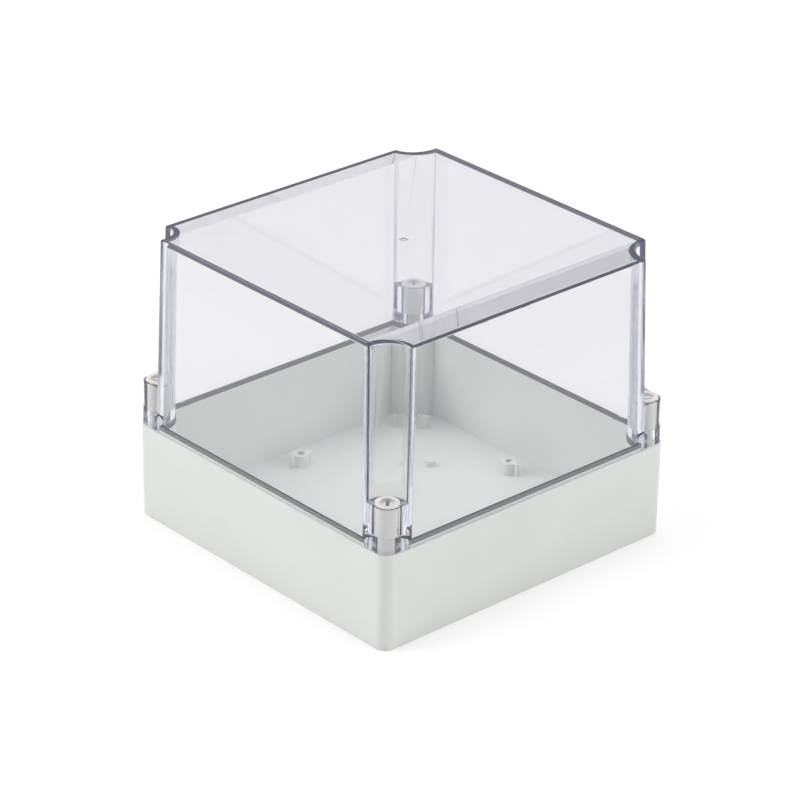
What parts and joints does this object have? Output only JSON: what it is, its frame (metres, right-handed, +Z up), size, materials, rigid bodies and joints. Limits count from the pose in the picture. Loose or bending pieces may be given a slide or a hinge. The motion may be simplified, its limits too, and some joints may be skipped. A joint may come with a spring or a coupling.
{
  "type": "enclosure with clear cover",
  "caption": "Square wall-mounting enclosure: grey tray, gasket and a deep clear cover with notched corners, held by slotted corner screws.",
  "frame": {"origin": "middle of the base's flat underside", "axes": "+Z up through the cover; -Y and +X are the two side faces shown in front; the box is square in plan"},
  "size_m": [0.18, 0.18, 0.15],
  "materials": {
    "tray_grey": "moulded light grey polycarbonate, fine satin",
    "gasket_rubber": "dark grey closed-cell sealing strip, matt",
    "clear_polycarbonate": "clear polished polycarbonate with a faint blue-violet edge",
    "screw_nylon": "moulded light grey nylon, satin"
  },
  "bodies": {
    "base": {"base": "tray_grey", "gasket": "gasket_rubber"},
    "cover": {"cover": "clear_polycarbonate"},
    "screw_front": {"screw_front": "screw_nylon"},
    "screw_left": {"screw_left": "screw_nylon"},
    "screw_back": {"screw_back": "screw_nylon"},
    "screw_right": {"screw_right": "screw_nylon"}
  },
  "joints": [
    {"name": "cover_lift", "type": "slide", "parent": "base", "child": "cover", "axis": [0, 0, 1], "range_m": [0, 0.12]},
    {"name": "turn_front", "type": "hinge", "parent": "cover", "child": "screw_front", "pos_m": [0.0825, -0.0825, 0.073], "axis": [0, 0, 1], "range_deg": [0, 1080]},
    {"name": "turn_left", "type": "hinge", "parent": "cover", "child": "screw_left", "pos_m": [-0.0825, -0.0825, 0.073], "axis": [0, 0, 1], "range_deg": [0, 1080]},
    {"name": "turn_back", "type": "hinge", "parent": "cover", "child": "screw_back", "pos_m": [-0.0825, 0.0825, 0.073], "axis": [0, 0, 1], "range_deg": [0, 1080]},
    {"name": "turn_right", "type": "hinge", "parent": "cover", "child": "screw_right", "pos_m": [0.0825, 0.0825, 0.073], "axis": [0, 0, 1], "range_deg": [0, 1080]}
  ]
}
